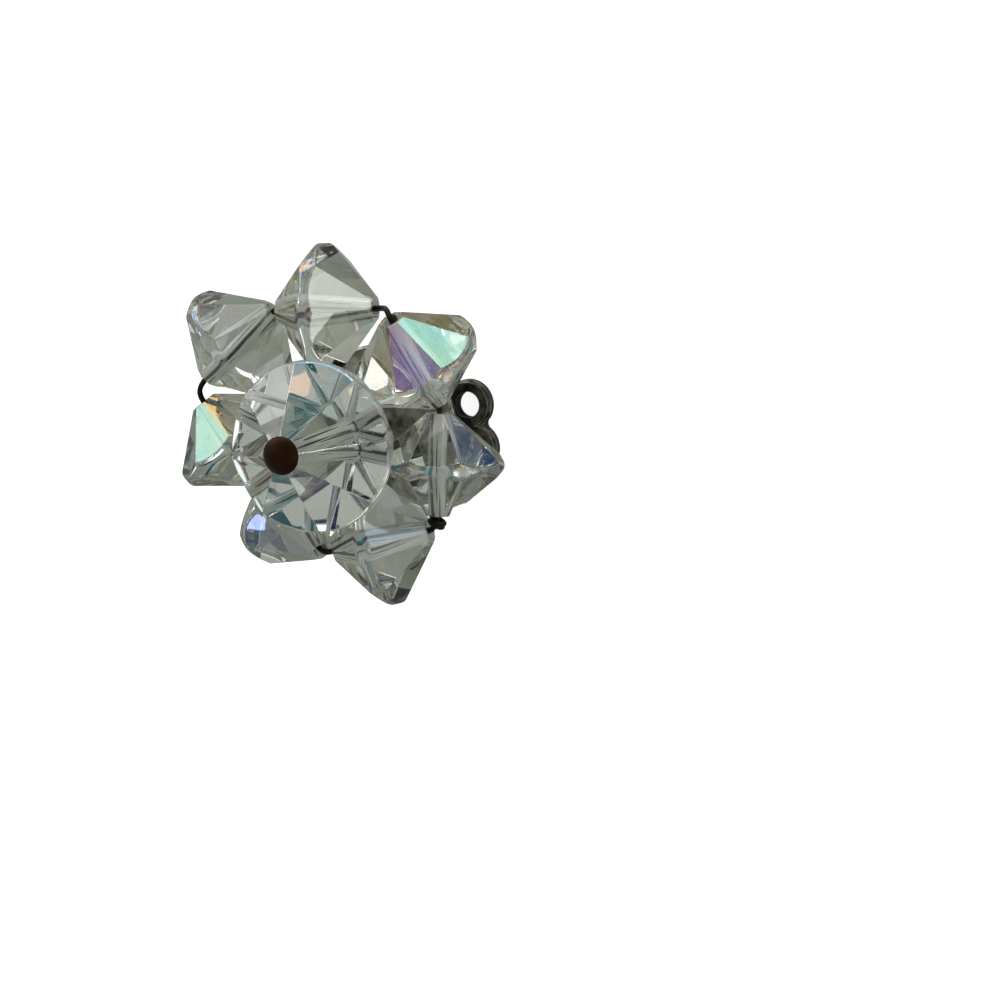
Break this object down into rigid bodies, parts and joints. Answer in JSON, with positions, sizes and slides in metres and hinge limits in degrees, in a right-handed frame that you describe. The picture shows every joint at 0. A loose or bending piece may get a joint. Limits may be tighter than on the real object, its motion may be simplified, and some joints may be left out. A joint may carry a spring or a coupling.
{
  "type": "clip-on earring",
  "caption": "Clip-on earring: faceted clear glass beads wired in a ring round a larger centre bead on a domed pin, over a round plate with a hinged clip lever.",
  "frame": {"origin": "on the closed clip lever's flat resting face, straight under the middle of the base plate", "axes": "+Z from the resting face up through the beads, +X towards the lever's lobed free end, +Y across"},
  "size_m": [0.0212, 0.022, 0.0166],
  "materials": {
    "crystal": "cut and polished clear crystal with a thin iridescent coat",
    "gunmetal": "dark gunmetal, worn bright along the edges",
    "wire_black": "blackened wire",
    "pin_copper": "tarnished dark brown copper"
  },
  "bodies": {
    "cluster": {"bead_1": "crystal", "bead_2": "crystal", "bead_3": "crystal", "bead_4": "crystal", "bead_5": "crystal", "bead_6": "crystal", "bead_7": "crystal", "centre_bead": "crystal", "head_pin": "pin_copper", "ring_wire": "wire_black", "wire_knot": "wire_black", "base_plate": "gunmetal", "hinge_pin": "gunmetal"},
    "clip_lever": {"clip_lever": "gunmetal"}
  },
  "joints": [
    {"name": "clip_hinge", "type": "hinge", "parent": "cluster", "child": "clip_lever", "pos_m": [-0.0033, -0.0007, 0.00085], "axis": [0, 1, 0], "range_deg": [0, 90], "stiffness_Nm_per_rad": 0.0001, "springref_deg": -17.19}
  ]
}
